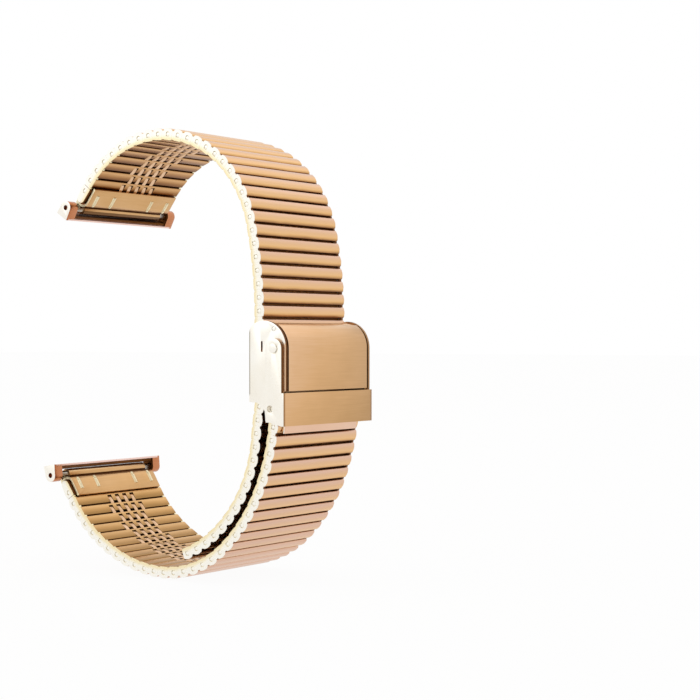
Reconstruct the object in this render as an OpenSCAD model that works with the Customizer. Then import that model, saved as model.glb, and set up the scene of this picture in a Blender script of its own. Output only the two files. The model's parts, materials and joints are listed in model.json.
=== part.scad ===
// Narrow-bar link bracelet with a sliding cam clasp and two slide-in watch adapters.
// X points outward through the clasp, Y across the band, Z up along the clasp.
// The origin is the middle of the clasp's back plate, on its wrist face.

/* [Strap] */
// Width of the band across the wrist
band_w = 19.8; // [17:0.1:20.5]
// Distance from one link pin to the next
link_pitch = 1.93; // [1.86:0.01:2.1]
// Distance from the clasp's lower pin to the next link pin
first_reach = 2.6; // [2.5:0.01:2.7]
// Distance from a strap's last link pin to the centre of its rounded end
end_reach = 1.34; // [1.3:0.01:1.4]
// Thickness of a link from wrist face to outer face
link_t = 1.75; // [1.7:0.01:1.85]
// Gap between two neighbouring bars
bar_gap = 0.24; // [0.2:0.01:0.3]
// Bevel along the outer edges of a bar
bar_bevel = 0.34; // [0.2:0.01:0.4]
// Bevel along the wrist edges of a bar
inner_bevel = 0.12; // [0.05:0.01:0.2]
// Links in each moving piece of strap
links_per_piece = 2; // [1:1:2]
// Links from the clasp up to the upper adapter
upper_links = 29; // [27:1:30]
// Links from the clasp down to the lower adapter
lower_links = 31; // [29:1:32]
// Links in the free tail below the clasp
tail_links = 14; // [10:2:14]
// Links held inside the clasp
held_links = 7; // [7:1:7]

/* [Link hinge] */
// Radius of a link pin
pin_r = 0.32; // [0.28:0.01:0.34]
// Radial clearance of a pin in its eye
pin_play = 0.04; // [0.03:0.01:0.06]
// Outer radius of the eye that wraps a pin
eye_r = 0.6; // [0.55:0.01:0.62]
// Width of one eye along the pin
eye_w = 0.72; // [0.6:0.01:0.76]
// Distance between two eyes of one row
eye_step = 1.68; // [1.6:0.01:1.9]
// Clearance between an eye and the bar around it
eye_play = 0.08; // [0.06:0.01:0.1]
// Eyes in the fuller rows
eyes_full = 5; // [3:2:5]

/* [Clasp] */
// Clearance between the band's edge and a side wall
side_play = 0.06; // [0.04:0.01:0.2]
// Clearance between the strap and the back plate
strap_play = 0.125; // [0.1:0.005:0.15]
// Height of the middle held bar above the origin
held_rise = 0.22; // [0.1:0.01:0.3]
// Thickness of the side walls
wall_t = 0.4; // [0.35:0.05:0.6]
// Thickness of the back plate
back_t = 0.4; // [0.3:0.05:0.5]
// Depth from wrist face to the front of the cover
clasp_depth = 6.5; // [6.4:0.05:7]
// Half height of the back plate
back_half = 4.9; // [4.5:0.1:5]
// Radius of the clasp's rounded shoulder
shoulder_r = 3.9; // [3.7:0.05:4]
// Height of the shoulder's centre above the origin
shoulder_z = 2.7; // [2.5:0.05:2.9]
// How far the bridge over the strap lies below the tops of the walls
bridge_drop = 0.3; // [0.2:0.05:0.4]
// Thickness of the cover and of the safety bail
plate_t = 0.5; // [0.4:0.05:0.6]
// Gap between the cover's side edge and a side wall
cover_gap = 0.3; // [0.1:0.05:0.4]
// Height of the cover's lower edge below the origin
cover_drop = 3.3; // [3:0.1:3.5]
// Seam between the cover and the safety bail
seam = 0.25; // [0.2:0.01:0.4]
// Height of the safety bail's lower edge below the origin
bail_drop = 8.2; // [8:0.05:8.5]
// Width of a bail arm seen from the side
arm_w = 2.8; // [2.6:0.1:3]
// Radius of the bail rivets
rivet_r = 0.4; // [0.3:0.05:0.5]
// Radius of the cover's hinge pin
cover_pin_r = 0.3; // [0.25:0.01:0.35]
// Radius of the pin that carries the lower strap
lower_pin_r = 0.4; // [0.35:0.01:0.42]
// Distance from the front of the cover back to the lower strap's pin
lower_pin_back = 2.4; // [2.3:0.05:2.5]
// Height of the lower strap's pin above the bail's lower edge
lower_pin_rise = 2.4; // [2.3:0.05:2.5]

/* [Watch adapters] */
// Length of an adapter across the watch
adapter_w = 24.1; // [22:0.1:24.4]
// Thickness of an adapter's ear along the bar
ear_t = 1.65; // [1:0.05:1.7]
// Radius of the ear around the spring bar
ear_r = 1; // [0.9:0.05:1.1]
// Distance from the spring bar to the rail's seat face
rail_reach = 1.55; // [1.5:0.05:1.8]
// Width of the rail's foot
foot_w = 2.3; // [2.1:0.05:2.4]
// Thickness of the rail's foot
foot_t = 0.28; // [0.2:0.01:0.35]
// Radius of the spring bar's barrel
barrel_r = 0.55; // [0.5:0.01:0.56]
// Radius of a spring bar tip
tip_r = 0.34; // [0.3:0.01:0.36]
// How far a tip reaches into its ear
tip_reach = 0.9; // [0.7:0.05:1]
// Thickness of the folded end plate
sheet_t = 0.34; // [0.25:0.01:0.36]
// Length of the end plate along the band, from its free edge to the middle of its curl
end_plate_len = 2.45; // [2.3:0.05:2.5]
// Distance from the end plate's side edge to the band's edge
end_plate_in = 0.55; // [0.4:0.05:0.8]
// Distance from the strap's rounded end, at its centre, to the spring bar
bar_ahead = 1.9; // [1.85:0.01:1.95]
// Radius of the ribs on the end plate
rib_r = 0.25; // [0.2:0.01:0.27]
// Length of a rib along the band
rib_len = 1.5; // [1.2:0.1:1.7]
// Distances of the outer and inner ribs from the middle of the band
rib_outer = 8; // [7.5:0.1:8.2]
rib_inner = 4.3; // [4:0.1:5]

/* [Hidden] */
// Wrist curve: first heading in degrees, and stretches of links with the turn of each link.
upper_head = 90;
upper_turns = [[7, 1.8], [8, 6.3], [8, 5.9], [6, 6.6]];
lower_head = -95;
lower_turns = [[5, -3.6], [6, -4.3], [7, -6.2], [7, -4.8], [5, -5.4]];
tail_head = -99;
tail_turns = [[2, 1.3], [12, -5.3]];

// Clasp places, worked out from the sizes above.
round_fn = 40;
bar_len = link_pitch - bar_gap;
half_t = link_t / 2;
pin_bore_r = pin_r + pin_play;
held_x = back_t + strap_play + half_t;
held_top = (held_links - 1) / 2 * link_pitch + held_rise;
lower_start = [clasp_depth - lower_pin_back, lower_pin_rise - bail_drop];
wall_in = band_w / 2 + side_play;
wall_out = wall_in + wall_t;
arm_play = 0.05;
arm_in = wall_out + arm_play;
arm_out = arm_in + plate_t;
cover_half = wall_in - cover_gap;
shoulder_c = [clasp_depth - shoulder_r, shoulder_z];
clasp_top = shoulder_c[1] + shoulder_r;
inner_r = shoulder_r - plate_t;
bridge_from = 70;
bridge_to = 95;
cover_to = 60;
knuckle_r = cover_pin_r + 0.25;
cover_pin_at = shoulder_c + (shoulder_r - knuckle_r - 0.1) * [cos(57), sin(57)];
cheek_y = wall_in - 1.9;
arm_front = clasp_depth - plate_t + 0.1;
arm_back = arm_front - arm_w;
rivet_at = [arm_front - arm_w / 2, shoulder_z];
bail_top = cover_drop + seam;
snap_r = lower_pin_r + 0.1;
head_r = rivet_r + 0.28;
head_t = 0.22;
cut = 1;

// End plate, tube and spring bar, worked out from the sizes above.
spring_play = 0.03;
tube_r = barrel_r + spring_play + 0.22;
ear_in = adapter_w / 2 - ear_t;
tube_half = ear_in - 1.7;
plate_half = band_w / 2 - end_plate_in;
curl_r = half_t + eye_play;
rail_in = tube_r + 0.08;
upper_tilt = 237;
lower_tilt = 100;

steel = [0.84, 0.64, 0.5];
steel_light = [0.96, 0.86, 0.74];
steel_dark = [0.72, 0.46, 0.33];
pin_colour = [0.62, 0.5, 0.4];

upper_pieces = ceil(upper_links / links_per_piece);
lower_pieces = ceil(lower_links / links_per_piece);
tail_pieces = ceil(tail_links / links_per_piece);

// Turn of link i, read from the stretches; past the last stretch the last turn goes on.
function turn_of(turns, i, k = 0) =
    k >= len(turns) - 1 || i < turns[k][0] ? turns[k][1] : turn_of(turns, i - turns[k][0], k + 1);

// Heading of the step from pin i to pin i + 1.
function heading(head, turns, i) = i == 0 ? head : heading(head, turns, i - 1) + turn_of(turns, i - 1);

// Place of pin i of a chain, in X and Z; its first step can be longer than the others.
function pin_at(start, head, turns, i, first = link_pitch) =
    i == 0 ? start
    : let (a = heading(head, turns, i - 1))
      pin_at(start, head, turns, i - 1, first) + (i == 1 ? first : link_pitch) * [cos(a), sin(a)];

held_bottom = [held_x, held_top - (held_links - 1) * link_pitch];
upper_start = [held_x, held_top];

// Every link points to the link whose pin its eyes hold: down the strap, away from the upper adapter.
function upper_pin(i) = pin_at(upper_start, upper_head, upper_turns, i);
function upper_dir(i) = heading(upper_head, upper_turns, i - 1) + 180;
function lower_pin_at(i) = pin_at(lower_start, lower_head, lower_turns, i, first_reach);
function lower_dir(i) = heading(lower_head, lower_turns, min(i, lower_links - 2));
function tail_pin(i) = pin_at(held_bottom, tail_head, tail_turns, i);
function tail_dir(i) = heading(tail_head, tail_turns, i);

// Centre of the rounded end of a strap, past its last pin p in direction a, and the spring bar's place.
function ahead(p, a, d) = p + d * [cos(a), sin(a)];
upper_out = upper_dir(upper_links) - 180;
lower_out = lower_dir(lower_links - 1);
upper_end = ahead(upper_pin(upper_links), upper_out, end_reach);
lower_end = ahead(lower_pin_at(lower_links - 1), lower_out, end_reach);
upper_bar = ahead(upper_end, upper_out, bar_ahead);
lower_bar = ahead(lower_end, lower_out, bar_ahead);

piece_names = concat(
    [for (i = [1:upper_pieces]) str("upper_links_", i)],
    [for (i = [1:lower_pieces]) str("lower_links_", i)],
    [for (i = [1:tail_pieces]) str("tail_links_", i)]);
clasp_names = ["clasp_box", "held_links", "clasp_cover", "cover_hinge_pin", "lock_bar",
    "safety_bail", "bail_rivets", "lower_strap_pin", "end_hook"];
end_names = [for (e = ["upper", "lower"], n = ["end_plate", "adapter", "spring_bar",
    "bar_tip_near", "bar_tip_far"]) str(e, "_", n)];

// Puts a piece drawn along X with its outer face up at point p, heading a; side 1 bends left.
module place(p, a, side) {
    translate([p[0], 0, p[1]]) rotate([0, -a, 0]) rotate([side > 0 ? 180 : 0, 0, 0]) children();
}

// Extrudes an X-Z outline across the band, between two Y values.
module across(y0, y1) {
    translate([0, y1, 0]) rotate([90, 0, 0]) linear_extrude(height = y1 - y0) children();
}

// Round bar along Y at an X-Z point.
module rod(at, r, y0, y1, fn = round_fn) {
    translate([at[0], y1, at[1]]) rotate([90, 0, 0]) cylinder(h = y1 - y0, r = r, $fn = fn);
}

// The same X-Z piece on both sides of the band.
module both_sides() {
    children();
    mirror([0, 1, 0]) children();
}

// Y places of the eyes: kind 1 is a full row, kind 2 the row between, kind 0 none.
function eye_places(kind) =
    let (n = kind == 0 ? 0 : kind == 1 ? eyes_full : eyes_full - 1)
    [for (k = [0:1:n - 1]) (k - (n - 1) / 2) * eye_step];

// Section of one bar, wrist side down; front is how far it reaches past its pin.
module bar_section(front = bar_len / 2) {
    h = bar_len / 2;
    polygon([[-h + inner_bevel, -half_t], [front - inner_bevel, -half_t], [front, -half_t + inner_bevel],
        [front, half_t - bar_bevel], [front - bar_bevel, half_t], [-h + bar_bevel, half_t],
        [-h, half_t - bar_bevel], [-h, -half_t + inner_bevel]]);
}

// Section of a strap's last bar, with its rounded end at the front.
module end_section() {
    h = bar_len / 2;
    polygon([[-h + inner_bevel, -half_t], [end_reach, -half_t], [end_reach, half_t],
        [-h + bar_bevel, half_t], [-h, half_t - bar_bevel], [-h, -half_t + inner_bevel]]);
    translate([end_reach, 0]) circle(r = half_t, $fn = 64);
}

// Eyes that reach forward from a bar to the next pin.
module eyes(kind, reach) {
    for (y = eye_places(kind)) {
        rod([reach, 0], eye_r, y - eye_w / 2, y + eye_w / 2, 24);
        translate([0, y - eye_w / 2, -eye_r]) cube([reach, eye_w, eye_r + pin_bore_r]);
    }
}

// Room in a bar for the eyes that come from the bar behind it.
module eye_slots(kind) {
    room = eye_r + eye_play;
    for (y = eye_places(kind))
        translate([-bar_len, y - eye_w / 2 - eye_play, -half_t - cut])
            cube([bar_len + room, eye_w + 2 * eye_play, half_t + cut + room]);
}

// One link: a full-width bar with eyes reaching to the next pin. End 1 rounds its front, end -1 its back.
module link_bar(from_kind, to_kind, bore = pin_bore_r, reach = link_pitch, end = 0) {
    difference() {
        union() {
            difference() {
                across(-band_w / 2, band_w / 2) {
                    if (end == 0) bar_section(reach - bar_gap - bar_len / 2);
                    else scale([end, 1]) end_section();
                }
                eye_slots(from_kind);
            }
            eyes(to_kind, reach);
        }
        rod([0, 0], bore, -band_w, band_w);
        rod([reach, 0], pin_bore_r, -band_w, band_w);
    }
}

// Pin of one link, its ends just inside the bar's end faces.
module link_pin() {
    color(pin_colour) rod([0, 0], pin_r, -band_w / 2 + 0.1, band_w / 2 - 0.1);
}

function row_kind(i) = i % 2 == 0 ? 1 : 2;

module held_links() {
    for (i = [0:held_links - 1])
        place([held_x, held_top - i * link_pitch], i == held_links - 1 ? tail_head : -90, -1) {
            color(steel) link_bar(row_kind(i), row_kind(i + 1));
            link_pin();
        }
}

module upper_piece(n) {
    for (i = [(n - 1) * links_per_piece + 1:min(n * links_per_piece, upper_links)])
        place(upper_pin(i), upper_dir(i), -1) {
            color(steel) link_bar(i == upper_links ? 0 : row_kind(i), row_kind(i - 1),
                end = i == upper_links ? -1 : 0);
            link_pin();
        }
}

module tail_piece(n) {
    for (i = [(n - 1) * links_per_piece + 1:min(n * links_per_piece, tail_links)])
        place(tail_pin(i), tail_dir(i), -1) {
            color(steel) link_bar(row_kind(i + held_links - 1),
                i == tail_links ? 0 : row_kind(i + held_links));
            link_pin();
        }
}

// The first lower link turns on the clasp's lower pin, which is a piece of its own.
module lower_piece(n) {
    for (i = [(n - 1) * links_per_piece:min(n * links_per_piece, lower_links) - 1])
        place(lower_pin_at(i), lower_dir(i), -1) {
            color(steel) link_bar(i == 0 ? 0 : row_kind(i), i == lower_links - 1 ? 0 : row_kind(i + 1),
                i == 0 ? lower_pin_r + pin_play : pin_bore_r, i == 0 ? first_reach : link_pitch,
                i == lower_links - 1 ? 1 : 0);
            if (i > 0) link_pin();
        }
}

// Pie piece of the rounded shoulder in the X-Z plane.
module shoulder_pie(r, a0, a1) {
    reach = 2 * shoulder_r;
    translate(shoulder_c) intersection() {
        circle(r = r, $fn = 96);
        polygon([[0, 0], reach * [cos(a0), sin(a0)],
            reach * [cos((a0 + a1) / 2), sin((a0 + a1) / 2)], reach * [cos(a1), sin(a1)]]);
    }
}

// The same piece of the shoulder as a bent plate, set in by drop.
module shoulder_ring(a0, a1, drop = 0) {
    difference() {
        shoulder_pie(shoulder_r - drop, a0, a1);
        translate(shoulder_c) circle(r = inner_r - drop, $fn = 96);
    }
}

// Outline of a side wall: open below at the wrist side, where the tail comes out.
module wall_outline() {
    low_front = clasp_depth - plate_t - 0.1;
    rise = clasp_top - back_half;
    polygon(concat([[0, -back_half], [1.5, -back_half - 0.1], [2.75, -back_half - 1.2],
        [2.95, -bail_drop + 0.45], [low_front, -bail_drop + 0.45], [low_front, -cover_drop],
        [clasp_depth, -cover_drop], [clasp_depth, shoulder_z], shoulder_c],
        [for (a = [90:15:180]) [shoulder_c[0] * (1 + cos(a)), back_half + rise * sin(a)]]));
    shoulder_pie(shoulder_r, 0, 90);
}

module clasp_box() {
    color(steel_light) difference() {
        union() {
            translate([0, -wall_out, -back_half]) cube([back_t, 2 * wall_out, 2 * back_half]);
            both_sides() across(wall_in, wall_out) wall_outline();
            across(-wall_out, wall_out) shoulder_ring(bridge_from, bridge_to, bridge_drop);
        }
        both_sides() {
            rod(rivet_at, rivet_r + pin_play, wall_in - cut, wall_out + cut);
            rod(cover_pin_at, cover_pin_r + pin_play / 2, wall_in - cut, wall_out + cut);
            rod(lower_start, lower_pin_r + pin_play / 2, wall_in - cut, wall_out + cut);
            across(wall_in - cut, wall_out + cut)
                translate([arm_back - 1.2, shoulder_z - 0.5]) square([0.3, 1.5]);
        }
    }
}

// Front lever of the clasp, between the walls: flat plate, shoulder and the barrel around its pin.
module clasp_cover() {
    color(steel) difference() {
        union() {
            translate([clasp_depth - plate_t, -cover_half, -cover_drop])
                cube([plate_t, 2 * cover_half, cover_drop + shoulder_z]);
            across(-cover_half, cover_half) shoulder_ring(0, cover_to);
            rod(cover_pin_at, knuckle_r, -wall_in + 0.1, wall_in - 0.1);
        }
        rod(cover_pin_at, cover_pin_r + pin_play, -2 * wall_out, 2 * wall_out);
    }
}

module cover_hinge_pin() {
    color(pin_colour) rod(cover_pin_at, cover_pin_r, -wall_out, wall_out);
}

// Cam bar behind the cover: two teeth press between the bars of the strap when it is shut.
module lock_bar() {
    strap_face = held_x + half_t;
    back = strap_face + 0.4;
    // The teeth point at the gaps on both sides of the middle held bar.
    middle = (held_links - 1) / 2;
    gap_z = [for (i = [middle - 1, middle]) held_top - (i + 0.5) * link_pitch];
    bar_z = (gap_z[0] + gap_z[1]) / 2;
    color(steel_dark) {
        across(-cheek_y, cheek_y) {
            translate([back, bar_z - 1.5]) square([0.9, 3]);
            for (z = gap_z)
                polygon([[back, z - 0.3], [strap_face - 0.12, z], [back, z + 0.3]]);
        }
        both_sides() across(cheek_y - 0.5, cheek_y)
            polygon([[back + 0.8, bar_z - 1.4], [clasp_depth - plate_t, bar_z - 0.9],
                [clasp_depth - plate_t, bar_z + 1.6], [back + 0.8, bar_z + 1.4]]);
    }
}

// Arm outline of the safety bail: round at the rivet, square below.
module arm_outline() {
    translate(rivet_at) circle(r = arm_w / 2, $fn = 64);
    polygon([[arm_back, rivet_at[1]], [arm_back, -bail_drop + 0.7], [arm_front, -bail_drop],
        [arm_front, rivet_at[1]]]);
}

module safety_bail() {
    color(steel_light) difference() {
        union() {
            both_sides() across(arm_in, arm_out) arm_outline();
            translate([clasp_depth - plate_t, -arm_out, -bail_drop])
                cube([plate_t, 2 * arm_out, bail_drop - bail_top]);
        }
        both_sides() {
            rod(rivet_at, rivet_r + pin_play, arm_in - cut, arm_out + cut);
            rod(lower_start, snap_r, arm_in - cut, arm_out + cut);
        }
    }
}

// Two headed rivets that carry the safety bail.
module bail_rivets() {
    color(pin_colour) both_sides() {
        rod(rivet_at, rivet_r, wall_in - 0.02, arm_out + head_t);
        rod(rivet_at, head_r, arm_out + 0.02, arm_out + head_t);
    }
}

module lower_strap_pin() {
    color(pin_colour) rod(lower_start, lower_pin_r, -wall_out, wall_out);
}

// Plate on the outer face of the first lower links, with its lip below the bail.
module end_hook() {
    color(steel) place(lower_start, lower_dir(0), -1) {
        translate([-0.7, -band_w / 2 + 1, half_t + 0.06])
            cube([first_reach + bar_len / 2 + 0.7, band_w - 2, 0.36]);
    }
}

// Folded sheet at the end of a strap, drawn around the centre of the strap's rounded end:
// ribbed wrist plate, curl around the end, web and tube for the spring bar.
module end_plate() {
    outer = curl_r + sheet_t;
    rib_z = -outer + rib_r * 0.3;
    web_a = 50;
    // The web is a straight strip from the end of the curl to the outer side of the tube.
    web = [(curl_r + sheet_t / 2) * [cos(web_a), sin(web_a)], [bar_ahead, tube_r - sheet_t / 2]];
    run = web[1] - web[0];
    web_side = sheet_t / 2 / norm(run) * [-run[1], run[0]];
    difference() {
        union() {
            across(-plate_half, plate_half) {
                translate([-end_plate_len, -outer]) square([end_plate_len, sheet_t]);
                intersection() {
                    difference() {
                        circle(r = outer, $fn = 72);
                        circle(r = curl_r, $fn = 72);
                    }
                    polygon([[0, 0], [0, -2 * outer], 2 * outer * [cos(-20), sin(-20)],
                        2 * outer * [cos(web_a), sin(web_a)]]);
                }
                for (q = web) translate(q) circle(r = sheet_t / 2, $fn = 24);
                polygon([web[0] + web_side, web[1] + web_side, web[1] - web_side, web[0] - web_side]);
            }
            rod([bar_ahead, 0], tube_r, -tube_half, tube_half);
            both_sides() for (y = [rib_inner, rib_outer]) {
                translate([0.1 - rib_len, y, rib_z]) rotate([0, 90, 0])
                    cylinder(h = rib_len, r = rib_r, $fn = 24);
                translate([0.1, y, rib_z]) rotate([0, 75, 0]) cylinder(h = 0.45, r = rib_r, $fn = 24);
            }
        }
        rod([bar_ahead, 0], barrel_r + spring_play, -adapter_w, adapter_w);
    }
}

module strap_end(upper) {
    place(upper ? upper_end : lower_end, upper ? upper_out : lower_out, upper ? 1 : -1) children();
}

// Adapter drawn with the spring bar on the Y axis and the watch on the +X side.
module adapter() {
    neck = foot_w - 0.6;
    difference() {
        union() {
            both_sides() across(ear_in, adapter_w / 2) {
                circle(r = ear_r, $fn = 64);
                polygon([[0, -ear_r], [rail_reach, -foot_w / 2], [rail_reach, foot_w / 2], [0, ear_r]]);
            }
            translate([rail_in, -ear_in - 0.1, -neck / 2])
                cube([rail_reach - rail_in, 2 * ear_in + 0.2, neck]);
            translate([rail_reach - foot_t, -adapter_w / 2 + 0.4, -foot_w / 2])
                cube([foot_t, adapter_w - 0.8, foot_w]);
        }
        rod([0, 0], tip_r + 0.05, -adapter_w, adapter_w);
    }
}

module adapter_place(upper) {
    at = upper ? upper_bar : lower_bar;
    tilt = upper ? upper_tilt : lower_tilt;
    translate([at[0], 0, at[1]]) rotate([0, -tilt, 0]) children();
}

// Spring bar barrel, bored at both ends for its tips.
module spring_bar() {
    half = ear_in - 0.06;
    difference() {
        rod([0, 0], barrel_r, -half, half);
        both_sides() rod([0, 0], tip_r + 0.02, half - 3, half + cut, 32);
    }
}

module bar_tip() {
    rod([0, 0], tip_r, ear_in - 2, ear_in + tip_reach);
}

module end_part(upper, name) {
    if (name == "end_plate") color(steel) strap_end(upper) end_plate();
    if (name == "adapter") color(steel_dark) adapter_place(upper) adapter();
    if (name == "spring_bar") color(pin_colour) adapter_place(upper) spring_bar();
    if (name == "bar_tip_far") color(pin_colour) adapter_place(upper) bar_tip();
    if (name == "bar_tip_near") color(pin_colour) mirror([0, 1, 0]) adapter_place(upper) bar_tip();
}

clasp_box();
held_links();
clasp_cover();
cover_hinge_pin();
lock_bar();
safety_bail();
bail_rivets();
lower_strap_pin();
end_hook();
for (i = [1:upper_pieces]) upper_piece(i);
for (i = [1:lower_pieces]) lower_piece(i);
for (i = [1:tail_pieces]) tail_piece(i);
for (e = ["upper", "lower"], n = ["end_plate", "adapter", "spring_bar", "bar_tip_near", "bar_tip_far"])
    end_part(e == "upper", n);
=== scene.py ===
import json
import math

import bmesh
import bpy
from mathutils import Matrix, Vector


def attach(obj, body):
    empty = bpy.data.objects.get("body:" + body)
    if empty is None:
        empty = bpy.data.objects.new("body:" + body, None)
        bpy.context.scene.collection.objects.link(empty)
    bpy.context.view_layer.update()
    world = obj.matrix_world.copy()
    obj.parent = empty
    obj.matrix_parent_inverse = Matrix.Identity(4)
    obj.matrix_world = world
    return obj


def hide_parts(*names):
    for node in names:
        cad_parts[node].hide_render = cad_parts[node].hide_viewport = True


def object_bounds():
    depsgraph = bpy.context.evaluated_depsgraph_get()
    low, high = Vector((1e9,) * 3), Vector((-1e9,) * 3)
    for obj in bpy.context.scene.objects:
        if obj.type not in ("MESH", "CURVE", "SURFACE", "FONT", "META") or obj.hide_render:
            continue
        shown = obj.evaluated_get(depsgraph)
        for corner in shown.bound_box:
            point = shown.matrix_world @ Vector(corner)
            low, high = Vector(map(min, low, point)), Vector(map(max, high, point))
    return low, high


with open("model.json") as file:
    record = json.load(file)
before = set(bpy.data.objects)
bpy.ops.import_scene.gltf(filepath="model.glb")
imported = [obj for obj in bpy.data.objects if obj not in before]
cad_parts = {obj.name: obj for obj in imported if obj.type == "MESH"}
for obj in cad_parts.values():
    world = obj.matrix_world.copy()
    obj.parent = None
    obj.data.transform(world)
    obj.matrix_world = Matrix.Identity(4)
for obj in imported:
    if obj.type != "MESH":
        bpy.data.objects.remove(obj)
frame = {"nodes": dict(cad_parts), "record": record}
cad_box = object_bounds()

MM = 0.001

# Strap sizes in mm and angles in degrees, as in part.scad.
BAND_W = 19.8
PITCH = 1.93
FIRST_REACH = 2.6
END_REACH = 1.34
LINK_T = 1.75
GAP = 0.24
HALF_L = (PITCH - GAP) / 2
HALF_T = LINK_T / 2
EYE_R = 0.6
EYE_W = 0.72
EYE_STEP = 1.68
EYE_PLAY = 0.08
PIN_R = 0.32
PIN_BORE = 0.36
FIRST_BORE = 0.44
HELD_X, HELD_TOP, HELD_N = 1.4, 6.01, 7
UPPER_N, LOWER_N, TAIL_N = 29, 31, 14
UPPER_HEAD, UPPER_TURNS = 90, [(7, 1.8), (8, 6.3), (8, 5.9), (6, 6.6)]
LOWER_START, LOWER_HEAD = (4.1, -5.8), -95
LOWER_TURNS = [(5, -3.6), (6, -4.3), (7, -6.2), (7, -4.8), (5, -5.4)]
TAIL_HEAD, TAIL_TURNS = -99, [(2, 1.3), (12, -5.3)]
BAR_AHEAD = 1.9
SHEET_T = 0.34
SHEET_OUT = HALF_T + EYE_PLAY + SHEET_T
RIB_AT = (4.3, 8)
ADAPTER_TILT = {"upper": 237, "lower": 100}


def chain(start, head, turns, count, first=PITCH):
    """Pins (x, z) and headings of a chain of links, as part.scad lays it out."""
    every = [t for n, t in turns for _ in range(n)]
    every += [turns[-1][1]] * (count + 2 - len(every))
    pins, heads, a = [start], [head], head
    for i in range(count + 1):
        r = math.radians(a)
        x, z = pins[-1]
        step = first if i == 0 else PITCH
        pins.append((x + step * math.cos(r), z + step * math.sin(r)))
        a += every[i]
        heads.append(a)
    return pins, heads


def ahead(p, heading, d):
    a = math.radians(heading)
    return p[0] + d * math.cos(a), p[1] + d * math.sin(a)


# Materials.
def new_material(name):
    m = bpy.data.materials.new(name)
    m.use_nodes = True
    nt = m.node_tree
    bsdf = next(n for n in nt.nodes if n.type == "BSDF_PRINCIPLED")
    return m, nt, bsdf


def node(nt, kind, inputs=None, **attrs):
    n = nt.nodes.new(kind)
    for k, v in attrs.items():
        setattr(n, k, v)
    for k, v in (inputs or {}).items():
        if isinstance(v, bpy.types.NodeSocket):
            nt.links.new(v, n.inputs[k])
        else:
            n.inputs[k].default_value = v
    return n


def maths(nt, op, a, b):
    return node(nt, "ShaderNodeMath", {0: a, 1: b}, operation=op).outputs[0]


def span(nt, value, lo, hi):
    """Value from lo to hi as 0 to 1, clamped."""
    return node(nt, "ShaderNodeMapRange", {"Value": value, 1: lo, 2: hi, 3: 0.0, 4: 1.0}).outputs[0]


def ramp(nt, fac, stops):
    r = node(nt, "ShaderNodeValToRGB", {"Fac": fac})
    cr = r.color_ramp
    cr.elements[0].position, cr.elements[0].color = stops[0][0], (*stops[0][1], 1)
    cr.elements[1].position, cr.elements[1].color = stops[-1][0], (*stops[-1][1], 1)
    for pos, col in stops[1:-1]:
        cr.elements.new(pos).color = (*col, 1)
    return r.outputs["Color"]


def mix_colour(nt, fac, a, b):
    n = node(nt, "ShaderNodeMix", data_type="RGBA")
    for k, v in ((0, fac), (6, a), (7, b)):
        if isinstance(v, bpy.types.NodeSocket):
            nt.links.new(v, n.inputs[k])
        else:
            n.inputs[k].default_value = (*v, 1) if k else v
    return n.outputs[2]


class Steel:
    """Plated steel with fine brushing across the band; base colour is set by the caller."""

    def __init__(self, name, rough, streak=(900, 25, 900), bump=0.05):
        self.m, self.nt, self.bsdf = new_material(name)
        nt = self.nt
        self.co = node(nt, "ShaderNodeTexCoord").outputs["Object"]
        mp = node(nt, "ShaderNodeMapping", {"Vector": self.co, "Scale": streak})
        self.fine = node(nt, "ShaderNodeTexNoise", {"Vector": mp.outputs[0], "Scale": 6.0, "Detail": 4.0,
                                                    "Roughness": 0.6}).outputs["Fac"]
        self.soft = node(nt, "ShaderNodeTexNoise", {"Vector": self.co, "Scale": 160.0,
                                                    "Detail": 2.0}).outputs["Fac"]
        rr = node(nt, "ShaderNodeMapRange", {"Value": self.fine, 3: rough[0], 4: rough[1]})
        nt.links.new(rr.outputs[0], self.bsdf.inputs["Roughness"])
        if bump:
            bp = node(nt, "ShaderNodeBump", {"Height": self.fine, "Strength": bump, "Distance": 0.00005})
            nt.links.new(bp.outputs["Normal"], self.bsdf.inputs["Normal"])
        self.bsdf.inputs["Metallic"].default_value = 1.0

    def wander(self, amount):
        """Small signed offset that follows the brushing and a softer cloud."""
        both = maths(self.nt, "ADD", self.fine, self.soft)
        return maths(self.nt, "MULTIPLY", maths(self.nt, "SUBTRACT", both, 1.0), amount)

    def tinted(self, colour):
        self.nt.links.new(colour, self.bsdf.inputs["Base Color"])
        return self.m


def axes(nt, vector):
    return node(nt, "ShaderNodeSeparateXYZ", {0: vector}).outputs


def in_link(nt):
    """Place within a bar, in mm, as Mesh.loop stores it."""
    at = node(nt, "ShaderNodeAttribute", attribute_name="in_link", attribute_type="GEOMETRY")
    return axes(nt, at.outputs["Vector"])


# Pale cream of the bars' end faces, a painted highlight, warmer at the wrist.
CREAM, CREAM_IN = (0.95, 0.92, 0.84), (0.92, 0.79, 0.50)
BAR_ENDS = (-0.85, 0.85)
# Where the clasp's painted highlight and shade fall, in metres; a pair is a fade from the first value to
# the second.
SHOULDER_Z, SHOULDER_FADE = 0.0061, (0.0007, 0.0)
BAIL_END_Y = (0.01046, 0.01056)
STRIP_X, STRIP_Z = (0.00600, 0.00606), (0.0036, 0.0032)
RIM_X, RIM_LOW, RIM_HIGH = (0.00022, 0.00012), (-0.0041, -0.0037), (0.0056, 0.0050)


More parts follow.
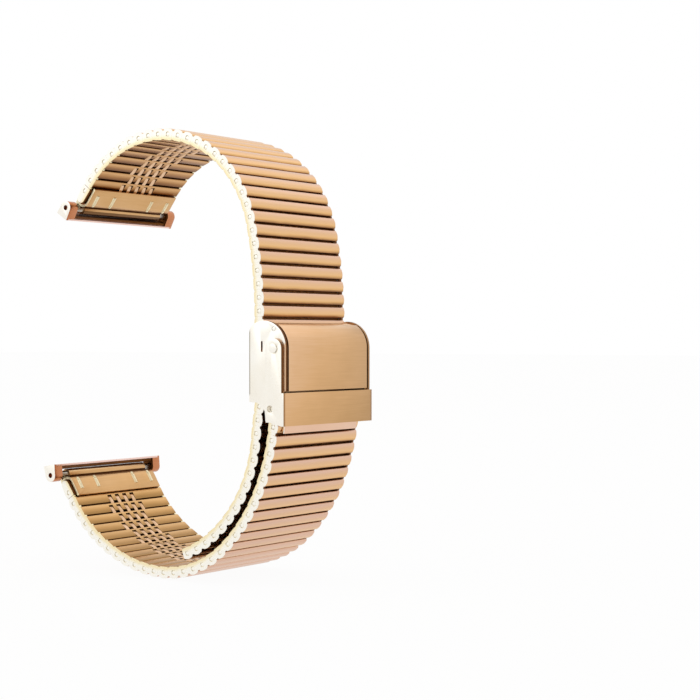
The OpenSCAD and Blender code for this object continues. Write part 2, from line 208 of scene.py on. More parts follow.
def link_steel():
    """Bars: a painted reflection, pinkish towards the upper edge of each outer face and where the strap
    runs level, golden towards the lower edge and in the lower half; painted shade, dark brown along the
    very lower edge; tan at the wrist as painted shade, darker towards the bar's edges."""
    s = Steel("link_plating", (0.24, 0.36))
    nt = s.nt
    at = in_link(nt)
    x = span(nt, at["X"], *BAR_ENDS)
    # Outer faces: painted reflection from pink to golden, then painted shade to dark brown at the lower
    # edge.
    outer = ramp(nt, maths(nt, "ADD", x, s.wander(0.16)), [
        (0.05, (0.75, 0.49, 0.36)), (0.35, (0.78, 0.49, 0.28)), (0.62, (0.84, 0.52, 0.25)),
        (0.74, (0.77, 0.45, 0.18)), (0.84, (0.50, 0.27, 0.11)), (0.92, (0.26, 0.12, 0.045)),
        (1.0, (0.09, 0.03, 0.007))])
    # Wrist faces: painted shade, darkest at the bar's edges.
    wrist = ramp(nt, maths(nt, "ADD", x, s.wander(0.3)), [
        (0.0, (0.22, 0.085, 0.02)), (0.28, (0.42, 0.20, 0.065)), (0.6, (0.67, 0.385, 0.17)),
        (0.85, (0.62, 0.345, 0.14)), (1.0, (0.36, 0.17, 0.05))])
    # Wrist faces lower in the loop face up and get a painted golden highlight.
    low = span(nt, axes(nt, s.co)["Z"], 0.004, -0.02)
    wrist = mix_colour(nt, maths(nt, "MULTIPLY", low, 0.3), wrist, (0.80, 0.52, 0.20))
    return s.tinted(mix_colour(nt, span(nt, at["Z"], -0.3, -0.55), outer, wrist))


def edge_steel():
    """Polished end faces of the bars: pale, a painted highlight, warmer towards the wrist as a painted
    reflection.
    """
    s = Steel("edge_plating", (0.22, 0.34), streak=(500, 500, 500), bump=0.03)
    nt = s.nt
    f = maths(nt, "ADD", span(nt, in_link(nt)["Z"], -0.62, -0.05), s.wander(0.25))
    return s.tinted(ramp(nt, f, [(0.0, CREAM_IN), (0.7, (0.95, 0.90, 0.76)), (1.0, CREAM)]))


def gap_shade_steel():
    """Painted shade: dark brown for the side faces of the bars deep in the gaps and other crevices."""
    s = Steel("gap_painted_shade", (0.45, 0.6), bump=0.0)
    return s.tinted(ramp(s.nt, s.soft, [(0.3, (0.13, 0.045, 0.009)), (0.7, (0.20, 0.075, 0.018))]))


def bore_steel():
    """The shallow ring around a pin's end, a shade darker than the end faces: painted shade in the
    recess.
    """
    s = Steel("bore_plating", (0.35, 0.5), bump=0.0)
    return s.tinted(ramp(s.nt, s.soft, [(0.3, (0.82, 0.75, 0.58)), (0.7, (0.90, 0.84, 0.70))]))


def clasp_steel():
    """Brushed outer faces: painted light, pinkish at the near top to golden, a painted highlight band
    under the shoulder, and painted shade on the bail's ends."""
    s = Steel("clasp_plating", (0.28, 0.40))
    nt = s.nt
    at = axes(nt, s.co)
    y = maths(nt, "MULTIPLY", at["Y"], 26.0)
    z = maths(nt, "MULTIPLY", at["Z"], -26.0)
    f = maths(nt, "ADD", maths(nt, "ADD", y, z), maths(nt, "ADD", s.wander(0.3), 0.5))
    base = ramp(nt, f, [(0.05, (0.83, 0.54, 0.34)), (0.45, (0.71, 0.425, 0.205)),
                        (0.95, (0.53, 0.30, 0.115))])
    off = maths(nt, "ABSOLUTE", maths(nt, "SUBTRACT", at["Z"], SHOULDER_Z), 0.0)
    shine = maths(nt, "MULTIPLY", span(nt, off, *SHOULDER_FADE), 0.7)
    lit = mix_colour(nt, shine, base, (0.86, 0.60, 0.38))
    side = maths(nt, "ABSOLUTE", at["Y"], 0.0)
    return s.tinted(mix_colour(nt, span(nt, side, *BAIL_END_Y), lit, (0.40, 0.22, 0.10)))


def wall_steel():
    """Walls of the clasp: pale, a painted highlight; golden on the strip in front of the bail's arm,
    painted half shade; grey-brown painted shade along the wrist edge."""
    s = Steel("clasp_wall_plating", (0.24, 0.34))
    nt = s.nt
    at = axes(nt, s.co)
    strip = maths(nt, "MULTIPLY", span(nt, at["X"], *STRIP_X), span(nt, at["Z"], *STRIP_Z))
    pale = ramp(nt, s.soft, [(0.35, (0.93, 0.88, 0.78)), (0.65, (0.97, 0.94, 0.87))])
    edge = span(nt, at["X"], *RIM_X)
    tall = maths(nt, "MULTIPLY", span(nt, at["Z"], *RIM_LOW), span(nt, at["Z"], *RIM_HIGH))
    rim = maths(nt, "MULTIPLY", edge, tall)
    striped = mix_colour(nt, strip, pale, (0.76, 0.50, 0.31))
    return s.tinted(mix_colour(nt, rim, striped, (0.42, 0.38, 0.31)))


def plain_steel(name, low, high, rough, metal=1.0, **kw):
    s = Steel(name, rough, **kw)
    s.bsdf.inputs["Metallic"].default_value = metal
    w = maths(s.nt, "ADD", maths(s.nt, "MULTIPLY", s.fine, 0.5), maths(s.nt, "MULTIPLY", s.soft, 0.5))
    return s.tinted(ramp(s.nt, w, [(0.35, low), (0.65, high)]))


LINK_STEEL, EDGE_STEEL, GAP_SHADE_STEEL, CLASP_STEEL = link_steel(), edge_steel(), gap_shade_steel(), clasp_steel()
BORE_STEEL = bore_steel()
# Near-white sides of the clasp, pins and ears: a painted highlight on the plating.
CLASP_SIDE = plain_steel("clasp_side_plating", (0.93, 0.88, 0.78), (0.97, 0.94, 0.87), (0.24, 0.34))
WALL_STEEL = wall_steel()
SHADE_STEEL = plain_steel("shaded_plating", (0.17, 0.085, 0.034), (0.23, 0.12, 0.05), (0.3, 0.4))
# Brown rims at the far wall and the bail's corner bevels: painted shade.
RIM_STEEL = plain_steel("rim_plating", (0.34, 0.18, 0.08), (0.42, 0.24, 0.11), (0.3, 0.4))
LIP_STEEL = plain_steel("lip_plating", (0.80, 0.52, 0.36), (0.85, 0.57, 0.41), (0.26, 0.36))
PLATE_STEEL = plain_steel("end_plate_plating", (0.62, 0.36, 0.15), (0.71, 0.43, 0.20), (0.24, 0.36))
# Cream ribs and sheet edges of the end plates, partly non-metal: a painted highlight.
RIB_STEEL = plain_steel("rib_plating", (1.0, 0.86, 0.54), (1.0, 0.92, 0.64), (0.3, 0.4), metal=0.45)
ADAPTER_STEEL = plain_steel("adapter_plating", (0.52, 0.20, 0.09), (0.60, 0.25, 0.12), (0.22, 0.32),
                            streak=(500, 60, 500))
# Light golden tops of the end plates' tubes: a painted highlight.
TUBE_STEEL = plain_steel("tube_plating", (0.76, 0.52, 0.27), (0.84, 0.62, 0.36), (0.24, 0.34))
# The adapters' rails, lighter and pinker than their ears: a painted highlight.
RAIL_STEEL = plain_steel("rail_plating", (0.84, 0.58, 0.50), (0.90, 0.68, 0.60), (0.2, 0.3))
# Knuckles at the wrist, lighter than the bars: a painted highlight.
KNUCKLE_STEEL = plain_steel("knuckle_plating", (0.64, 0.39, 0.21), (0.86, 0.58, 0.38), (0.22, 0.32),
                            streak=(500, 300, 500))
BAR_STEEL = plain_steel("spring_bar_plating", (0.40, 0.36, 0.30), (0.52, 0.48, 0.42), (0.2, 0.3),
                        streak=(700, 200, 700))
# Material slots of a strap piece; the third is painted shade in the gaps, slots and grooves.
LINK, KNUCKLE, DARK, EDGE, BORE = range(5)


# Mesh helpers.
# How far level bars move along the colour ramp towards pink: a painted reflection.
LEVEL_REFLECTION_SHIFT = 0.45


class Mesh:
    """Collects closed pieces in mm, each piece in a frame given by place()."""

    def __init__(self):
        self.bm = bmesh.new()
        self.local = self.bm.verts.layers.float_vector.new("in_link")
        self.at = lambda x, y, z: (x, y, z)
        self.shift, self.squeeze = 0.0, 1.0

    def place(self, p, heading):
        """Local x runs along heading in the X-Z plane, local z outward, as place() in part.scad."""
        a = math.radians(heading)
        self.shift = LEVEL_REFLECTION_SHIFT * abs(math.cos(a))
        c, s = math.cos(a), math.sin(a)
        self.at = lambda x, y, z: (p[0] + x * c - z * s, y, p[1] + x * s + z * c)

    def loop(self, pts, y):
        """A ring of vertices. Their place in the bar colours it: moved back on level bars for a painted
        reflection, and drawn in where a longer bar reaches further forward."""
        out = []
        for x, z in pts:
            v = self.bm.verts.new([q * MM for q in self.at(x, y, z)])
            v[self.local] = (x * (self.squeeze if x > 0 else 1) - self.shift, y, z)
            out.append(v)
        return out

    def face(self, vs, mat, flat=False):
        f = self.bm.faces.new(vs)
        f.material_index = mat
        f.smooth = not flat

    def skin(self, loops, mats=LINK, caps=(LINK, LINK)):
        """Closed piece through loops of equal length, in order of rising y; mats can be one per
        side face."""
        n = len(loops[0])
        for a, b in zip(loops, loops[1:]):
            for i in range(n):
                j = (i + 1) % n
                self.face((a[i], b[i], b[j], a[j]), mats[i] if isinstance(mats, list) else mats)
        self.face(loops[0], caps[0], True)
        self.face(loops[-1][::-1], caps[1], True)

    def prism(self, pts, y0, y1, chamfer=0.0, mats=LINK, cap=LINK):
        if chamfer:
            small = inset(pts, chamfer)
            self.skin([self.loop(small, y0), self.loop(pts, y0 + chamfer),
                       self.loop(pts, y1 - chamfer), self.loop(small, y1)], mats, (cap, cap))
        else:
            self.skin([self.loop(pts, y0), self.loop(pts, y1)], mats, (cap, cap))

    def finish(self, name, mats, sharp=28):
        bm = self.bm
        bmesh.ops.recalc_face_normals(bm, faces=bm.faces)
        limit = math.radians(sharp)
        for e in bm.edges:
            if len(e.link_faces) == 2:
                e.smooth = e.calc_face_angle(0) < limit
        me = bpy.data.meshes.new(name)
        bm.to_mesh(me)
        bm.free()
        for m in mats:
            me.materials.append(m)
        o = bpy.data.objects.new(name, me)
        bpy.context.scene.collection.objects.link(o)
        return o


def inset(pts, d):
    """Points of a closed outline moved inward by d."""
    out = []
    n = len(pts)
    area = sum(pts[i][0] * pts[(i + 1) % n][1] - pts[(i + 1) % n][0] * pts[i][1] for i in range(n))
    sign = 1 if area > 0 else -1
    for i in range(n):
        (x0, z0), (x1, z1), (x2, z2) = pts[i - 1], pts[i], pts[(i + 1) % n]
        e1 = Vector((x1 - x0, z1 - z0)).normalized()
        e2 = Vector((x2 - x1, z2 - z1)).normalized()
        n1 = Vector((-e1.y, e1.x)) * sign
        n2 = Vector((-e2.y, e2.x)) * sign
        b = n1 + n2
        if b.length < 1e-6:
            b = n1
        b.normalize()
        k = d / max(0.5, b.dot(n1))
        out.append((x1 + b.x * k, z1 + b.y * k))
    return out


def arc(cx, cz, r, a0, a1, n):
    return [(cx + r * math.cos(math.radians(a0 + (a1 - a0) * i / n)),
             cz + r * math.sin(math.radians(a0 + (a1 - a0) * i / n))) for i in range(n + 1)]


# One link. Outlines run from the back along the outer face to the front, then back along the
# wrist face. The groove's upper edge clears the tongue up to 15 degrees of outward bend.
OUT_R = 0.34
IN_R = 0.24
CROWN = 0.09
END_R = HALF_T - 0.1
ROOT = 0.1
TONGUE = (-0.1, 0.1)
TONGUE_NOSE = 0.04
TONGUE_PLAY = 0.02
GROOVE_LO, GROOVE_HI, GROOVE_IN = -0.44, 0.32, 0.24
SLOT_TOP = 0.44
SLOT_FRONT = EYE_R + EYE_PLAY
SLOT_LIP = [(0.5, -HALF_T), (0.44, -HALF_T + 0.05), (SLOT_FRONT, -0.45)]
EYE_TRIM, EYE_CHAMFER = 0.02, 0.12
LUG_IN, LUG_Z, LUG_CHAMFER = (0.5, 0.04), (-0.74, 0.56), 0.02
# The end block. Depths are below its end face, and each pair in PIN_TIP is a share of the pin's
# radius and a depth.
BLOCK_W = 0.6
BLOCK_CHAMFER = 0.06
BORE_LIP, BORE_STEP, BORE_DEPTH = 0.05, 0.04, 0.14
PIN_TIP = [(1, 0.1), (0.8, 0.05), (0.3, 0.03)]
PIN_SIDES = 18
WRAP_TOP = 0.6


def section(kind, front=HALF_L, round_back=False, round_front=False):
    """Outline of a bar and the material of each side: plain, grooved, hollow or slotted at its back."""
    h, t, r = HALF_L, HALF_T - CROWN, OUT_R
    rise = [(-0.36, 0.55), (-0.24, 0.25), (-0.12, 0.06)]
    pts = []
    if round_back:
        pts += arc(-END_REACH, 0, END_R, 270, 90, 16)
    else:
        pts += arc(-h + r, t - r, r, 180, 104, 5)
        pts += [(x, HALF_T - CROWN * k) for x, k in rise]
    pts += [(0, HALF_T)]
    if round_front:
        pts += arc(END_REACH, 0, END_R, 90, -90, 16)
    else:
        shift = front - h
        pts += [(shift - x, HALF_T - CROWN * k) for x, k in rise[::-1]]
        pts += arc(front - r, t - r, r, 76, 0, 5)
        pts += arc(front - IN_R, -HALF_T + IN_R, IN_R, 0, -90, 4)
    if kind == "slotted":
        pts += SLOT_LIP + [(SLOT_FRONT, SLOT_TOP), (-h, SLOT_TOP)]
    elif kind == "hollow":
        pts += [(-h + GROOVE_IN, -HALF_T), (-h + GROOVE_IN, GROOVE_HI), (-h, GROOVE_HI)]
    elif not round_back:
        pts += arc(-h + IN_R, -HALF_T + IN_R, IN_R, -90, -180, 4)
        if kind == "grooved":
            pts += [(-h, GROOVE_LO), (-h + GROOVE_IN, GROOVE_LO), (-h + GROOVE_IN, GROOVE_HI),
                    (-h, GROOVE_HI)]
    # Side faces deep in the gap and the insides of slots and grooves get the painted shade.
    mats = []
    for (x0, z0), (x1, z1) in zip(pts, pts[1:] + pts[:1]):
        x, z = (x0 + x1) / 2, (z0 + z1) / 2
        deep = 0.06 if z < 0 else 0.02
        side = not round_back and x < -h + deep or not round_front and x > front - deep
        in_slot = kind == "slotted" and x < SLOT_FRONT + 0.01 and z < SLOT_TOP + 0.01
        in_groove = kind in ("hollow", "grooved") and x < -h + GROOVE_IN + 0.01
        inside = abs(z) < HALF_T - 0.12 and (in_slot or in_groove)
        mats.append(DARK if (side or inside) and z < HALF_T - 0.42 and z > -HALF_T + 0.06 else LINK)
    return pts, mats


def eye_outline(reach, flat):
    """Arm and eye: a low pillow at the wrist face, then dipping into the next bar around its pin;
    flat ones stay clear of an end plate."""
    p, h = reach, reach - HALF_L - GAP
    pts = ([(h - 0.3, 0.24), (p + 0.45, 0.24)] + arc(p, 0, EYE_R, 23, -35, 6)
           + [(p + 0.33, -0.58), (p + 0.2, -0.74), (p + 0.05, -0.84), (p - 0.25, -0.91), (p - 0.6, -0.93),
              (h + 0.06, -0.91), (h - 0.12, -0.85), (h - 0.28, -0.74)])
    if flat:
        pts = [(x, max(z, -0.6)) for x, z in pts]
    # Wrist faces of the knuckles get the painted highlight, their sides painted shade.
    mats = [KNUCKLE if (a[1] + b[1]) / 2 < -0.7 else DARK for a, b in zip(pts, pts[1:] + pts[:1])]
    return pts, mats


SECTIONS = {}


def cached(*key):
    if key not in SECTIONS:
        SECTIONS[key] = section(*key)
    return SECTIONS[key]


def eye_places(kind):
    n = (0, 5, 4)[kind]
    return [(k - (n - 1) / 2) * EYE_STEP for k in range(n)]


def end_block(m, shape, side, bore, pin_r, wrapped):
    """The last stretch of a bar at one edge of the band, with the pin's end set in its bore."""
    pts, mats = shape
    y_in, y_out = BAND_W / 2 - BLOCK_W, BAND_W / 2
    small = inset(pts, BLOCK_CHAMFER)
    ring, lip = [], []
    for x, z in small:
        a = math.atan2(z, x)
        ring.append((bore * math.cos(a), bore * math.sin(a)))
        lip.append(((bore + BORE_LIP) * math.cos(a), (bore + BORE_LIP) * math.sin(a)))
    loops = [m.loop(pts, side * y_in), m.loop(pts, side * (y_out - BLOCK_CHAMFER))]
    rim = [loops[1], m.loop(small, side * y_out)]
    face = [rim[1], m.loop(lip, side * y_out)]
    hole = [face[1], *(m.loop(ring, side * (y_out - d)) for d in (BORE_STEP, BORE_DEPTH))]
    n = len(pts)
    # Where an end plate wraps the bar, faces below WRAP_TOP get painted shade from the curl.
    if wrapped:
        mats = [DARK if pts[i][1] < WRAP_TOP else mats[i] for i in range(n)]
    rim_mats = [DARK if wrapped and pts[i][1] < WRAP_TOP else EDGE for i in range(n)]
    floor = BORE if pin_r else EDGE
    for group, mat in ((loops, mats), (rim, rim_mats), (face, EDGE), (hole, floor)):
        for a, b in zip(group, group[1:]):
            for i in range(n):
                j = (i + 1) % n
                m.face((a[i], b[i], b[j], a[j]), mat[i] if isinstance(mat, list) else mat)
    m.face(loops[0], LINK, True)
    m.face(hole[-1][::-1], floor, True)
    if pin_r:
        turns = [math.tau * i / PIN_SIDES for i in range(PIN_SIDES)]
        circ = [(math.cos(t), math.sin(t)) for t in turns]
        pin = [m.loop([(x * r, z * r) for x, z in circ], side * y) for r, y in
               ((pin_r, y_in), *((pin_r * share, y_out - d) for share, d in PIN_TIP))]
        m.skin(pin if side > 0 else [lp[::-1] for lp in pin], EDGE, (EDGE, EDGE))


def link(m, p, heading, from_kind, to_kind, bore=PIN_BORE, pin_r=PIN_R, reach=PITCH, end=0,
         flat=False):
    """A bar with its eyes; end 1 has a rounded front and end -1 a rounded back."""
    m.place(p, heading)
    edge = BAND_W / 2 - BLOCK_W
    front = reach - GAP - HALF_L
    m.squeeze = HALF_L / front
    more = (front, end < 0, end > 0)
    cuts = [(y - EYE_W / 2 - EYE_PLAY, y + EYE_W / 2 + EYE_PLAY) for y in eye_places(from_kind)]
    back = "grooved" if from_kind else "plain"
    y = -edge
    for k, (a, b) in enumerate(cuts + [(edge, edge)]):
        pts, mats = cached(back if k in (0, len(cuts)) else "hollow", *more)
        # Caps at the cuts, facing the slots, are painted shade.
        m.prism(pts, y, a, 0, mats, DARK)
        if b > a:
            pts, mats = cached("slotted", *more)
            m.prism(pts, a, b, 0, mats, DARK)
        y = b
    for side in (-1, 1):
        end_block(m, cached("plain", *more), side, bore, pin_r, end != 0)
    if to_kind:
        pts, mats = eye_outline(reach, flat)
        for y in eye_places(to_kind):
            m.prism(pts, y - EYE_W / 2 + EYE_TRIM, y + EYE_W / 2 - EYE_TRIM, EYE_CHAMFER, mats, DARK)
        # The tongue that fills the gap is painted shade all over.
        lo, hi = TONGUE
        x0, x1 = front - ROOT, reach - HALF_L + ROOT
        m.prism([(x0, lo), (x0, hi), (x1, hi), (x1 + TONGUE_NOSE, (lo + hi) / 2), (x1, lo)],
                TONGUE_PLAY - edge, edge - TONGUE_PLAY, 0, DARK, DARK)
        # A lug at each edge closes the edge between two bars, up to a notch near their outer faces; the
        # lug's top, in the notch, is painted shade.
        lo, hi = LUG_Z
        for side in (-1, 1):
            y = sorted(side * (BAND_W / 2 - d) for d in LUG_IN)
            m.prism([(x0, lo), (x0, hi), (x1, hi), (x1, lo)], *y, LUG_CHAMFER,
                    [EDGE, DARK, EDGE, EDGE], EDGE)


def row_kind(i):
    return 1 if i % 2 == 0 else 2


def strap_piece(name, body, links):
    m = Mesh()
    for args in links:
        link(m, *args)
    o = m.finish(name + "_dressed", [LINK_STEEL, KNUCKLE_STEEL, GAP_SHADE_STEEL, EDGE_STEEL, BORE_STEEL])
    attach(o, body)
    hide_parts(name)
    return o


up_pins, up_heads = chain((HELD_X, HELD_TOP), UPPER_HEAD, UPPER_TURNS, UPPER_N)
lo_pins, lo_heads = chain(LOWER_START, LOWER_HEAD, LOWER_TURNS, LOWER_N, FIRST_REACH)
ta_pins, ta_heads = chain((HELD_X, HELD_TOP - (HELD_N - 1) * PITCH), TAIL_HEAD, TAIL_TURNS, TAIL_N)

strap_piece("held_links", "clasp", [
    ((HELD_X, HELD_TOP - i * PITCH), TAIL_HEAD if i == HELD_N - 1 else -90, row_kind(i), row_kind(i + 1))
    for i in range(HELD_N)])
for n in range(1, 16):
    strap_piece(f"upper_links_{n}", f"upper_{n}", [
        (up_pins[i], up_heads[i - 1] + 180, 0 if i == UPPER_N else row_kind(i), row_kind(i - 1),
         PIN_BORE, PIN_R, PITCH, -1 if i == UPPER_N else 0)
        for i in (2 * n - 1, 2 * n) if i <= UPPER_N])
for n in range(1, 17):
    strap_piece(f"lower_links_{n}", f"lower_{n}", [
        (lo_pins[i], lo_heads[min(i, LOWER_N - 2)], 0 if i == 0 else row_kind(i),
         0 if i == LOWER_N - 1 else row_kind(i + 1), FIRST_BORE if i == 0 else PIN_BORE,
         0 if i == 0 else PIN_R, FIRST_REACH if i == 0 else PITCH, 1 if i == LOWER_N - 1 else 0,
         i == LOWER_N - 2)
        for i in (2 * n - 2, 2 * n - 1) if i < LOWER_N])
for n in range(1, 8):
    strap_piece(f"tail_links_{n}", f"tail_{n}", [
        (ta_pins[i], ta_heads[i], row_kind(i + HELD_N - 1), 0 if i == TAIL_N else row_kind(i + HELD_N))
        for i in (2 * n - 1, 2 * n)])


# Clasp and ends, from the CAD solids. Angles between faces, in degrees.
FLAT_DEG, ROUND_DEG, CREASE_DEG = 0.4, 32, 40


def dress(name, mats, bevel, pick=None, shape=None):
    """A CAD node's mesh with its edges rounded, in place of the node; pick(centre, normal) gives a
    material and shape(point) moves a vertex, both in mm."""
    src = frame["nodes"][name]
    bm = bmesh.new()
    bm.from_mesh(src.data)
    bmesh.ops.remove_doubles(bm, verts=bm.verts, dist=1e-7)
    bmesh.ops.dissolve_limit(bm, angle_limit=math.radians(FLAT_DEG), verts=bm.verts, edges=bm.edges)
    sharp = [e for e in bm.edges
             if len(e.link_faces) == 2 and e.calc_face_angle(0) > math.radians(ROUND_DEG)]
    bmesh.ops.bevel(bm, geom=sharp, offset=bevel * MM, offset_type="OFFSET", segments=2,
                    profile=0.5, affect="EDGES", clamp_overlap=True)
    bmesh.ops.recalc_face_normals(bm, faces=bm.faces)
    for v in bm.verts if shape else ():
        v.co = shape(v.co / MM) * MM
    for f in bm.faces:
        f.smooth = True
        if pick:
            f.normal_update()
            f.material_index = pick(f.calc_center_median() / MM, f.normal)
    for e in bm.edges:
        e.smooth = not (len(e.link_faces) == 2 and e.calc_face_angle(0) > math.radians(CREASE_DEG))
    me = bpy.data.meshes.new(name + "_dressed")
    bm.to_mesh(me)
    bm.free()
    for m in mats:
        me.materials.append(m)
    o = bpy.data.objects.new(name + "_dressed", me)
    bpy.context.scene.collection.objects.link(o)
    body = next(b for b, ns in frame["record"]["behaviour"]["bodies"].items() if name in ns)
    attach(o, body)
    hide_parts(name)
    return o


def outward(c, n, y_from):
    """True on faces that look away from the middle of the band, at least y_from out."""
    return abs(c.y) > y_from and n.y * math.copysign(1, c.y) > 0.7


# Places of the clasp in mm, and its materials.
SIDE_Y = 9.0
ARM_Y = 10.2
WALL_Y = BAND_W / 2 - 0.1
WALL_FRONT_X = 3
RIM_END_Z, ARM_END_Z = -3.4, -3.5
# Material slots: the pale one is a painted highlight; the third, fourth and fifth are painted shade,
# deepest to lightest.
BRUSHED, PALE, DEEP_SHADE, SHADE, RIM = range(5)


def at_lower_pin(c):
    return math.hypot(c.x - LOWER_START[0], c.z - LOWER_START[1]) < 0.7


def box_part(c, n):
    """Walls: pale outside, a painted highlight, with rims in painted shade, deep on the near wall and
    lighter on the far one.
    """
    if at_lower_pin(c) or outward(c, n, SIDE_Y):
        return PALE
    if abs(c.y) < WALL_Y or c.x < WALL_FRONT_X or c.z <= RIM_END_Z:
        return BRUSHED
    return RIM if c.y > 0 else DEEP_SHADE


def cover_part(c, n):
    # Side faces of the cover, in the gap by the walls, are painted shade.
    return DEEP_SHADE if abs(n.y) > 0.7 and abs(c.y) > SIDE_Y else BRUSHED


def bail_part(c, n):
    # Outward faces pale as a painted highlight; the arm's front face and the corner bevels painted shade.
    if at_lower_pin(c) or outward(c, n, SIDE_Y):
        return PALE
    if n.x > 0.7 and abs(c.y) > ARM_Y and c.z > ARM_END_Z:
        return SHADE
    return RIM if abs(c.y) > ARM_Y and n.x > 0.3 and abs(n.y) > 0.3 else BRUSHED


CLASP_MATS = [CLASP_STEEL, CLASP_SIDE, GAP_SHADE_STEEL, SHADE_STEEL, RIM_STEEL]
dress("clasp_box", [CLASP_STEEL, WALL_STEEL, *CLASP_MATS[2:]], 0.06, box_part)
dress("clasp_cover", CLASP_MATS, 0.08, cover_part)
dress("lock_bar", CLASP_MATS, 0.05)
dress("safety_bail", CLASP_MATS, 0.14, bail_part)
# The end hook's outward faces and the pins get the pale painted highlight.
dress("end_hook", [LIP_STEEL, CLASP_SIDE], 0.06,
      lambda c, n: PALE if outward(c, n, 8.0) else 0)
dress("cover_hinge_pin", [CLASP_SIDE], 0.05)
dress("lower_strap_pin", [CLASP_SIDE], 0.06)
dress("bail_rivets", [CLASP_SIDE], 0.07)

PLATE_MATS = [PLATE_STEEL, RIB_STEEL, GAP_SHADE_STEEL, TUBE_STEEL, SHADE_STEEL]
ADAPTER_MATS = [ADAPTER_STEEL, CLASP_SIDE, RAIL_STEEL, GAP_SHADE_STEEL]
SHEET, RIB, HOLLOW, TUBE, UNDER = range(5)
EAR, EAR_SIDE, RAIL, NECK = range(4)
# Places on an end plate in mm, x along the strap and z outward, and on an adapter.
RIB_HALF, RIB_CAD_HALF, RIB_WIDER = 0.37, 0.27, 1.4
TUBE_REACH = 0.82
WRIST_Z = -0.2
TUBE_BACK_X = 1.42
HOLLOW_X = (0.78, 1.32)
EAR_SIDE_Y, EAR_Y, FOOT_REACH = 11.5, 10.6, 1.2

ends = {
    "upper": (ahead(up_pins[UPPER_N], up_heads[UPPER_N - 1], END_REACH), up_heads[UPPER_N - 1], -1),
    "lower": (ahead(lo_pins[LOWER_N - 1], lo_heads[LOWER_N - 2], END_REACH), lo_heads[LOWER_N - 2], 1),
}
for end, (p, heading, up) in ends.items():
    ca, sa = math.cos(math.radians(heading)), math.sin(math.radians(heading))

    def plate_part(c, n):
        x = (c.x - p[0]) * ca + (c.z - p[1]) * sa
        z = up * (-(c.x - p[0]) * sa + (c.z - p[1]) * ca)
        on_rib = min(abs(abs(c.y) - y) for y in RIB_AT) < RIB_HALF and z < -SHEET_OUT + 0.06
        # Ribs and sheet edges are a painted highlight, the curl's hollow painted shade; the tube's top is
        # a painted highlight, its underside painted shade.
        if outward(c, n, SIDE_Y) or on_rib:
            return RIB
        if math.hypot(x - BAR_AHEAD, z) < TUBE_REACH:
            if z < WRIST_Z and x < TUBE_BACK_X:
                return HOLLOW
            return TUBE if n.z > 0.55 else UNDER if n.z < -0.4 else SHEET
        return HOLLOW if z < WRIST_Z and HOLLOW_X[0] < x < HOLLOW_X[1] else SHEET

    def wider_rib(v):
        z = up * (-(v.x - p[0]) * sa + (v.z - p[1]) * ca)
        y = math.copysign(min(RIB_AT, key=lambda r: abs(abs(v.y) - r)), v.y)
        if abs(v.y - y) < RIB_CAD_HALF and z < -SHEET_OUT + 0.03:
            v.y = y + (v.y - y) * RIB_WIDER
        return v

    bar = ahead(p, heading, BAR_AHEAD)
    tilt = math.radians(ADAPTER_TILT[end])

    def adapter_part(c, n):
        reach = (c.x - bar[0]) * math.cos(tilt) + (c.z - bar[1]) * math.sin(tilt)
        # Ear sides are pale as a painted highlight, the rail lighter as a painted highlight, the neck
        # between the ears painted shade.
        if outward(c, n, EAR_SIDE_Y):
            return EAR_SIDE
        if abs(c.y) > EAR_Y:
            return EAR
        return RAIL if reach > FOOT_REACH else NECK

    dress(end + "_end_plate", PLATE_MATS, 0.05, plate_part, wider_rib)
    dress(end + "_adapter", ADAPTER_MATS, 0.08, adapter_part)
    dress(end + "_spring_bar", [BAR_STEEL], 0.05)
    for side in ("near", "far"):
        dress(f"{end}_bar_tip_{side}", [BAR_STEEL], 0.05)


# Floor, light and camera. Lengths in metres, and angles in degrees.
FLOOR_HALF, FLOOR_DROP = 3.0, 0.0002
FOCAL_PX, IMAGE_PX, SENSOR = 1663.5, 700, 36
CAM_AZIMUTH, CAM_ELEVATION = 34.96, 0.41
CAM_AT = (0.14663, -0.19518, 0.00413)


def white_for_eye(nt, share=1.0):
    """The given share for rays from the camera and in reflections, 0 for the light on the part."""
    lp = node(nt, "ShaderNodeLightPath")
    direct = maths(nt, "MAXIMUM", lp.outputs["Is Camera Ray"],
                   maths(nt, "MAXIMUM", lp.outputs["Is Glossy Ray"], lp.outputs["Is Transmission Ray"]))
    return maths(nt, "MULTIPLY", direct, share)


def stage_floor():
    low = cad_box[0][2] - FLOOR_DROP
    me = bpy.data.meshes.new("floor")
    s = FLOOR_HALF
    me.from_pydata([(-s, -s, low), (s, -s, low), (s, s, low), (-s, s, low)], [], [(0, 1, 2, 3)])
    o = bpy.data.objects.new("floor", me)
    bpy.context.scene.collection.objects.link(o)
    m, nt, bsdf = new_material("floor_paper")
    bsdf.inputs["Base Color"].default_value = (0.96, 0.96, 0.96, 1)
    bsdf.inputs["Roughness"].default_value = 0.9
    bsdf.inputs["Specular IOR Level"].default_value = 0.0
    em = node(nt, "ShaderNodeEmission", {"Color": (1, 1, 1, 1), "Strength": 1.0})
    fac = white_for_eye(nt, 0.95)
    mx = node(nt, "ShaderNodeMixShader", {0: fac, 1: bsdf.outputs[0], 2: em.outputs[0]})
    out = next(n for n in nt.nodes if n.type == "OUTPUT_MATERIAL")
    nt.links.new(mx.outputs[0], out.inputs["Surface"])
    me.materials.append(m)


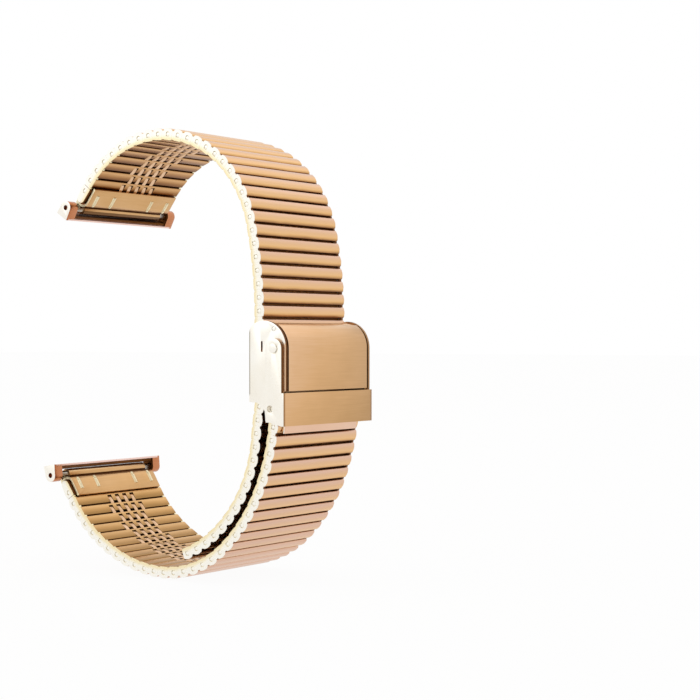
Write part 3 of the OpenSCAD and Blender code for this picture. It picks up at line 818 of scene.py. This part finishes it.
def stage_world():
    w = bpy.data.worlds.new("studio")
    bpy.context.scene.world = w
    w.use_nodes = True
    nt = w.node_tree
    nt.nodes.clear()
    light = node(nt, "ShaderNodeBackground", {"Color": (1.0, 0.98, 0.96, 1), "Strength": 0.8})
    seen = node(nt, "ShaderNodeBackground", {"Color": (1, 1, 1, 1), "Strength": 1.0})
    fac = white_for_eye(nt)
    mx = node(nt, "ShaderNodeMixShader", {0: fac, 1: light.outputs[0], 2: seen.outputs[0]})
    node(nt, "ShaderNodeOutputWorld", {"Surface": mx.outputs[0]})


def area(name, direction, dist, size, power, colour, target=(-0.015, 0, 0)):
    d = Vector(direction).normalized()
    data = bpy.data.lights.new(name, "AREA")
    data.shape = "RECTANGLE"
    data.size, data.size_y = size
    data.energy = power
    data.color = colour
    o = bpy.data.objects.new(name, data)
    o.location = Vector(target) + d * dist
    o.rotation_euler = (-d).to_track_quat("-Z", "Y").to_euler()
    bpy.context.scene.collection.objects.link(o)
    return o


stage_floor()
stage_world()
area("key_left", (-0.45, -0.75, 0.55), 0.5, (0.4, 0.4), 0.22, (1.0, 0.98, 0.94))
area("top_soft", (0.25, 0.45, 0.9), 0.5, (0.5, 0.5), 0.12, (1.0, 0.97, 0.95))

cam_data = bpy.data.cameras.new("photo_camera")
cam_data.sensor_width = SENSOR
cam_data.sensor_fit = "HORIZONTAL"
cam_data.lens = SENSOR * FOCAL_PX / IMAGE_PX
cam_data.clip_start = 0.005
cam = bpy.data.objects.new("photo_camera", cam_data)
bpy.context.scene.collection.objects.link(cam)
az, el = math.radians(CAM_AZIMUTH), math.radians(CAM_ELEVATION)
back = Vector((math.sin(az) * math.cos(el), -math.cos(az) * math.cos(el), math.sin(el)))
right = Vector((math.cos(az), math.sin(az), 0))
upv = back.cross(right)
cam.matrix_world = Matrix.Translation(Vector(CAM_AT)) @ Matrix(
    ((right.x, upv.x, back.x), (right.y, upv.y, back.y), (right.z, upv.z, back.z))).to_4x4()
bpy.context.scene.camera = cam
bpy.context.scene.view_settings.view_transform = "Standard"
